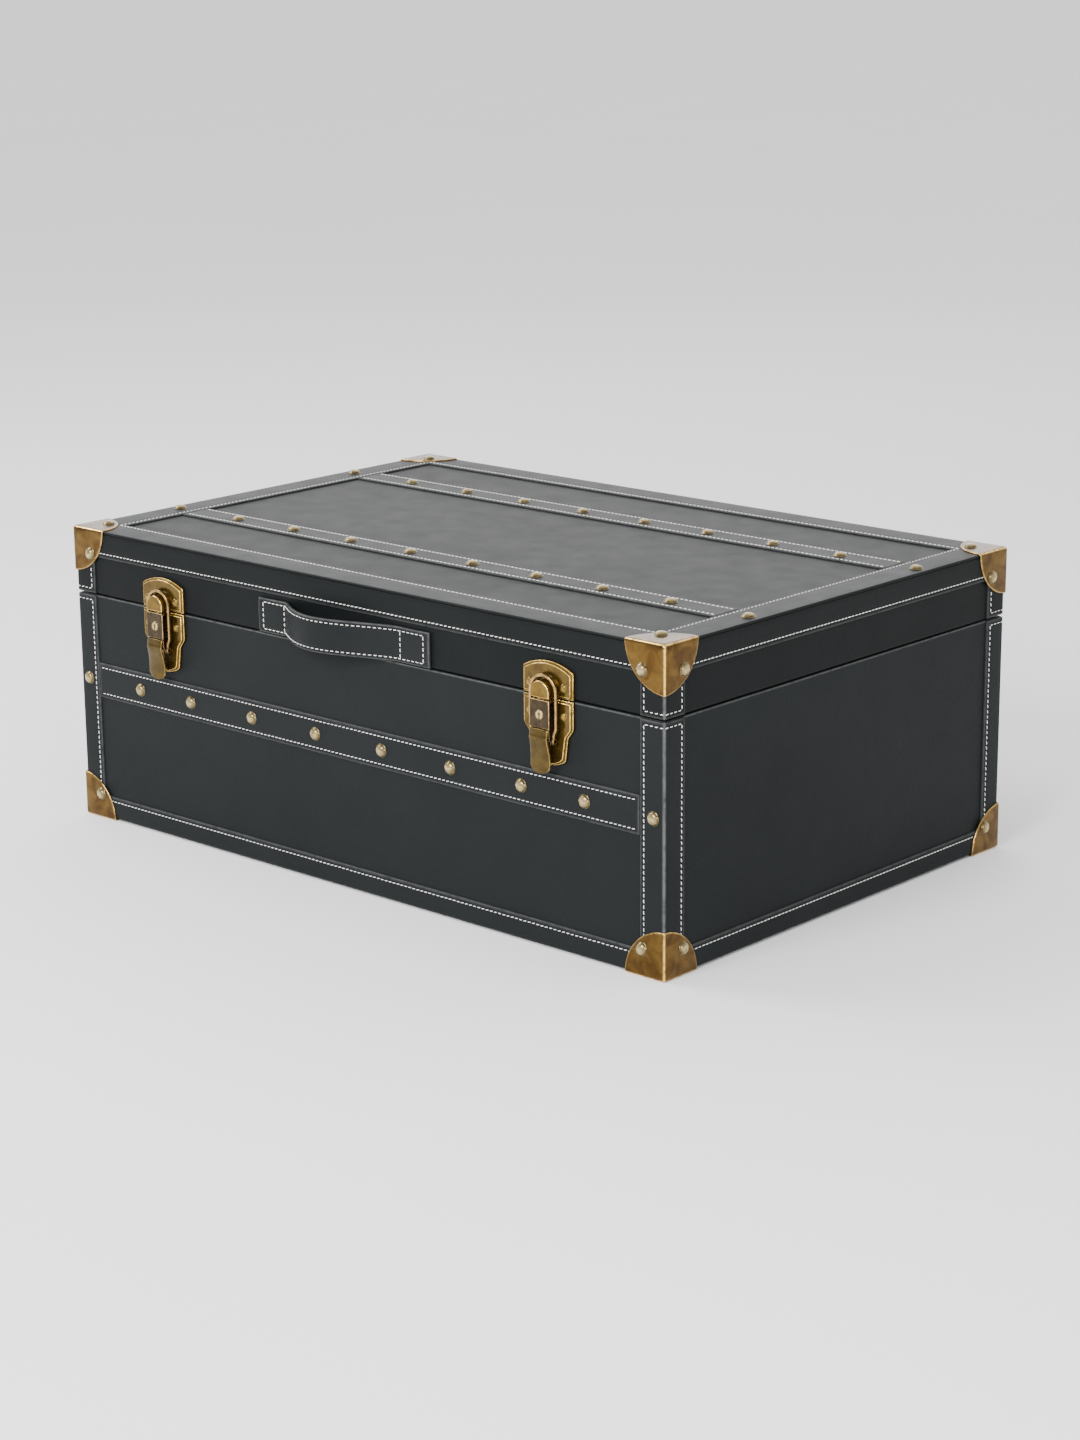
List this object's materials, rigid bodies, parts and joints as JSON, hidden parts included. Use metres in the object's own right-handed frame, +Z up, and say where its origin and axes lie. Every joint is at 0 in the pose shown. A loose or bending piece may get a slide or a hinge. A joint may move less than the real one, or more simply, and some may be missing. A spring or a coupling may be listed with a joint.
{
  "type": "footlocker",
  "caption": "Low rectangular footlocker in black stitched leather with brass corners, nailed straps, lever latches and a front handle; the lid lifts on rear hinges.",
  "frame": {"origin": "middle of the trunk's outline in plan, handle and hinges included, at the level of the floor it stands on", "axes": "+X along the long side, to the right of someone facing the latches; -Y out of the front, where the latches and the handle are; +Z up"},
  "size_m": [0.7726, 0.535, 0.3023],
  "materials": {
    "leather": "black, fine grain, satin",
    "brass": "antique, worn bright on the edges",
    "board": "raw board",
    "lining": "plain woven",
    "ribbon": "twill tape",
    "pin_steel": "plain"
  },
  "bodies": {
    "base": {"base_back_board": "board", "base_binding": "leather", "base_brass_corner_back_left": "brass", "base_brass_corner_back_right": "brass", "base_brass_corner_front_left": "brass", "base_brass_corner_front_right": "brass", "base_corner_strip_back_left": "leather", "base_corner_strip_back_right": "leather", "base_corner_strip_front_left": "leather", "base_corner_strip_front_right": "leather", "base_floor_board": "board", "base_front_board": "board", "base_leather_cover": "leather", "base_left_board": "board", "base_lining": "lining", "base_right_board": "board", "base_sole_sheet": "leather", "front_strap": "leather", "hinge_lower_leaf_left": "brass", "hinge_lower_leaf_right": "brass", "hinge_pin_left": "pin_steel", "hinge_pin_right": "pin_steel", "latch_lever_pin_left": "pin_steel", "latch_lever_pin_right": "pin_steel", "latch_lower_plate_left": "brass", "latch_lower_plate_right": "brass", "lid_stay_ribbon_left": "ribbon", "lid_stay_ribbon_right": "ribbon"},
    "lid": {"handle_strap": "leather", "hinge_upper_leaf_left": "brass", "hinge_upper_leaf_right": "brass", "latch_upper_plate_left": "brass", "latch_upper_plate_right": "brass", "lid_back_board": "board", "lid_binding": "leather", "lid_brass_corner_back_left": "brass", "lid_brass_corner_back_right": "brass", "lid_brass_corner_front_left": "brass", "lid_brass_corner_front_right": "brass", "lid_corner_strip_back_left": "leather", "lid_corner_strip_back_right": "leather", "lid_corner_strip_front_left": "leather", "lid_corner_strip_front_right": "leather", "lid_front_board": "board", "lid_leather_cover": "leather", "lid_left_board": "board", "lid_lining": "lining", "lid_right_board": "board", "lid_strap_back": "leather", "lid_strap_front": "leather", "lid_top_board": "board"},
    "lever_left": {"latch_lever_left": "brass", "latch_loop_pin_left": "pin_steel"},
    "lever_right": {"latch_lever_right": "brass", "latch_loop_pin_right": "pin_steel"},
    "loop_left": {"latch_loop_left": "brass"},
    "loop_right": {"latch_loop_right": "brass"},
    "plug_left": {"lock_plug_left": "brass"},
    "plug_right": {"lock_plug_right": "brass"}
  },
  "joints": [
    {"name": "lid_hinge", "type": "hinge", "parent": "base", "child": "lid", "pos_m": [0, 0.26415, 0.2315], "axis": [-1, 0, 0], "range_deg": [0, 100], "deforming": ["lid_stay_ribbon_left", "lid_stay_ribbon_right"]},
    {"name": "lever_left_swing", "type": "hinge", "parent": "base", "child": "lever_left", "pos_m": [-0.2508, -0.24965, 0.227], "axis": [-1, 0, 0], "range_deg": [0, 90]},
    {"name": "loop_left_swing", "type": "hinge", "parent": "lever_left", "child": "loop_left", "pos_m": [-0.2508, -0.24915, 0.1945], "axis": [-1, 0, 0], "range_deg": [-90, 0]},
    {"name": "plug_left_turn", "type": "hinge", "parent": "lever_left", "child": "plug_left", "pos_m": [-0.2508, -0.25245, 0.2177], "axis": [0, -1, 0], "range_deg": [-90, 0]},
    {"name": "lever_right_swing", "type": "hinge", "parent": "base", "child": "lever_right", "pos_m": [0.2508, -0.24965, 0.227], "axis": [-1, 0, 0], "range_deg": [0, 90]},
    {"name": "loop_right_swing", "type": "hinge", "parent": "lever_right", "child": "loop_right", "pos_m": [0.2508, -0.24915, 0.1945], "axis": [-1, 0, 0], "range_deg": [-90, 0]},
    {"name": "plug_right_turn", "type": "hinge", "parent": "lever_right", "child": "plug_right", "pos_m": [0.2508, -0.25245, 0.2177], "axis": [0, -1, 0], "range_deg": [-90, 0]}
  ],
  "couplings": [
    {"joint": "loop_left_swing", "follows": "lever_left_swing", "ratio": -1},
    {"joint": "loop_right_swing", "follows": "lever_right_swing", "ratio": -1}
  ]
}
